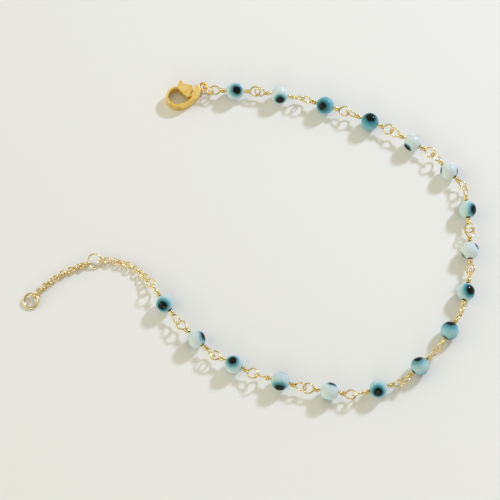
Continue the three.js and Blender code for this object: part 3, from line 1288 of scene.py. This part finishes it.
    def hook_rounding(self, at: Vector) -> float:
        """Round the hook's edges well outside the bow and little inside it.

        Args:
            at: The middle of an edge.

        Returns:
            The edge's share of the full rounding.
        """
        away = (at.xy - self.outer.middle).length
        if away < (self.outer.radius + self.inner.radius) / 2:
            return self.inner_share
        if at.x > self.tip_face and at.y > self.outer.y + self.inner.radius * 0.8:
            return self.tip_share if at.x < 1.0 else self.shoulder_share
        return 1.0 if at.x < 2.0 and away > self.outer.radius - 0.1 else self.shoulder_share

    def lever_rounding(self, at: Vector) -> float:
        """Keep the lever's edges crisp where it meets the hook, and soft along its outer side.

        Args:
            at: The middle of an edge.

        Returns:
            The edge's share of the full rounding.
        """
        reach = (at.xy - self.hinge).length
        meets = reach < self.cheek + self.lever_play + 0.05 or reach > self.lever_reach - 0.03
        return self.meeting_share if meets and at.y < 3.8 else self.outer_share

    def tail_ring(self) -> bpy.types.Object:
        """Cast the ring at the tail, thicker than it is wide.

        Returns:
            The ring, in the clasp's own frame.
        """
        width = (self.tail_outer - self.tail_hole) / 2
        bpy.ops.mesh.primitive_torus_add(
            major_segments=48, minor_segments=16,
            major_radius=self.tail_hole + width, minor_radius=width,
            location=(self.tail.x, self.tail.y, self.tail_height),
        )
        ring = bpy.context.active_object
        ring.scale.z = self.tail_thickness / (2 * width)
        settle(ring)
        return ring

    def body(self) -> bpy.types.Object:
        """Cast the hook with its slot, pin and tail ring.

        Returns:
            The body, in the clasp's own frame.
        """
        middle = self.thickness / 2
        low, high = middle - self.slot / 2, middle + self.slot / 2
        body = self.plate("clasp_hook", self.hook_outline(), 0, self.thickness, self.hook_rounding)
        combine(body, self.tail_ring(), Join.UNION)
        slot = self.plate("slot", self.sector(self.slot_reach, 150, 236), low, high)
        combine(body, slot, Join.CUT)
        combine(body, self.drum(self.hinge, self.eye + self.eye_play, low, high), Join.CUT)
        foot, top = low - self.pin_depth, high + self.pin_depth
        combine(body, self.drum(self.hinge, self.pin, foot, top), Join.UNION)
        rise = self.thickness + self.head_rise
        combine(body, self.drum(self.hinge, self.head, top, rise, self.head_dome), Join.UNION)
        return body

    def lever(self) -> bpy.types.Object:
        """Cast the lever with the tongue that turns on the pin.

        Returns:
            The lever, in the clasp's own frame.
        """
        middle = self.thickness / 2
        low, high = middle - self.tongue / 2, middle + self.tongue / 2
        lever = self.plate(
            "thumb_lever", self.lever_outline(), self.lever_inset,
            self.thickness - self.lever_inset, self.lever_rounding,
        )
        tongue = self.plate("tongue", self.sector(self.tongue_reach, 165, 219), low, high)
        combine(lever, tongue, Join.UNION)
        combine(lever, self.drum(self.hinge, self.eye, low, high), Join.UNION)
        hole = self.drum(self.hinge, self.pin + self.pin_play, low - 0.1, high + 0.1)
        combine(lever, hole, Join.CUT)
        return lever

    def build(self) -> None:
        """Make both castings and set them on their bodies."""
        gold = self.finish.material()
        place = self.place()
        for piece, body, node in (
            (self.body(), BRACELET, "clasp_body"),
            (self.lever(), LEVER, "clasp_lever"),
        ):
            settle(piece, place)
            clean(piece)
            smooth(piece, 40)
            dress(piece, self.finish, gold, body, node)


# ---------------------------------------------------------------- stage


@dataclass
class Studio:
    """A pale floor, a low key light, two soft cards, a sky with a glow, and the camera.

    Each light's way is its heading and height in degrees, and powers are watts. The sky's light
    goes from sky_low at the floor's edge to sky_high overhead, and glows towards glow_way.
    """

    aim: Vector = field(default_factory=lambda: Vector((-0.35, -2.77, 0)) * MM)
    distance: float = 500 * MM
    elevation: float = 65.0
    field_width: float = 500 / 4.5 * MM
    floor_size: float = 4.0
    floor_colour: Colour = (0.80, 0.81, 0.80)
    floor_shade: float = 0.985
    floor_tooth: float = 0.4 * MM
    sky_colour: Colour = (1.0, 0.955, 0.76)
    sky_low: float = 0.84
    sky_high: float = 0.34
    glow_way: Vector = field(default_factory=lambda: Vector((-0.93, -0.12, 0.34)))
    glow: float = 1.5
    glow_focus: float = 5.0
    key_heading: float = 44.0
    key_height: float = 33.0
    key_power: float = 6.8
    key_colour: Colour = (0.72, 0.78, 1.0)
    key_size: float = 0.11
    key_distance: float = 1.0
    card_way: tuple[float, float] = (262.0, 22.0)
    card_power: float = 1.5
    top_way: tuple[float, float] = (92.0, 63.0)
    top_power: float = 0.36
    card_size: float = 0.5
    card_distance: float = 1.0
    card_colour: Colour = (1.0, 0.97, 0.90)

    def floor(self) -> None:
        """Lay the floor with a faint tooth like smooth board."""
        bpy.ops.mesh.primitive_plane_add(size=self.floor_size)
        floor = bpy.context.active_object
        floor.name = floor.data.name = "floor"
        graph = Graph(bpy.data.materials.new("pale_board"))
        place = graph.add("TexCoord").outputs["Object"]
        tooth = graph.noise(place, self.floor_tooth, 3.0).outputs["Fac"]
        shade = tuple(c * self.floor_shade for c in self.floor_colour)
        graph.feed(
            graph.shader.inputs["Base Color"], graph.mix(tooth, self.floor_colour, shade)
        )
        graph.set(Roughness=0.75)
        floor.data.materials.append(graph.owner)

    def lamp(
        self, name: str, way: tuple[float, float], distance: float, size: float, power: float,
        colour: Colour,
    ) -> None:
        """Hang a square soft light that faces the bracelet.

        Args:
            name: The light's name.
            way: Its heading and height above the floor in degrees, seen from the bracelet.
            distance: How far away it hangs.
            size: The side of its square.
            power: Its power in watts.
            colour: Its colour.
        """
        light = bpy.data.lights.new(name, "AREA")
        light.size = size
        light.energy = power
        light.color = colour
        heading, height = rad(way[0]), rad(way[1])
        flat = math.cos(height)
        toward = Vector((flat * math.cos(heading), flat * math.sin(heading), math.sin(height)))
        lamp = bpy.data.objects.new(name, light)
        lamp.location = toward * distance
        lamp.rotation_euler = toward.to_track_quat("Z", "Y").to_euler()
        bpy.context.scene.collection.objects.link(lamp)

    def camera(self) -> None:
        """Set the camera in front of the bracelet, looking down at it."""
        camera = bpy.data.cameras.new("camera")
        camera.lens = camera.sensor_width * self.distance / self.field_width
        camera.clip_start = 0.01
        view = bpy.data.objects.new("camera", camera)
        height = rad(self.elevation)
        toward = Vector((0, -math.cos(height), math.sin(height)))
        view.location = self.aim + toward * self.distance
        view.rotation_euler = toward.to_track_quat("Z", "Y").to_euler()
        bpy.context.scene.collection.objects.link(view)
        bpy.context.scene.camera = view

    def sky(self) -> None:
        """Light the room softly, brighter near the floor's edge than overhead."""
        world = bpy.data.worlds.new("studio")
        graph = Graph(world, "Background")
        way = graph.add("TexCoord").outputs["Generated"]
        height = graph.add("SeparateXYZ", {0: way}).outputs["Z"]
        span = {"Value": height, "To Min": self.sky_low, "To Max": self.sky_high}
        light = graph.add("MapRange", span).outputs["Result"]
        side = graph.vector("DOT_PRODUCT", way, self.glow_way.normalized(), output=1)
        glow = graph.math("POWER", graph.math("MAXIMUM", side, 0.0), self.glow_focus)
        light = graph.math("MULTIPLY_ADD", glow, self.glow, light)
        graph.feed(graph.shader.inputs["Color"], (*self.sky_colour, 1.0))
        graph.feed(graph.shader.inputs["Strength"], light)
        bpy.context.scene.world = world

    def build(self) -> None:
        """Set the whole stage."""
        self.floor()
        key = (self.key_heading, self.key_height)
        self.lamp("key", key, self.key_distance, self.key_size, self.key_power, self.key_colour)
        for name, way, power in (
            ("card", self.card_way, self.card_power), ("top", self.top_way, self.top_power)
        ):
            self.lamp(name, way, self.card_distance, self.card_size, power, self.card_colour)
        self.sky()
        bpy.context.scene.view_settings.view_transform = "Standard"
        self.camera()


def main() -> None:
    """Build the bracelet's pieces in order, then the stage around them."""
    logging.basicConfig(level=logging.INFO, format="%(name)s: %(message)s")
    places = link_places()
    EyeBeads().build(places)
    WrappedLinks().build(places)
    Extender().build()
    LobsterClasp().build()
    Studio().build()


if __name__ == "__main__":
    main()
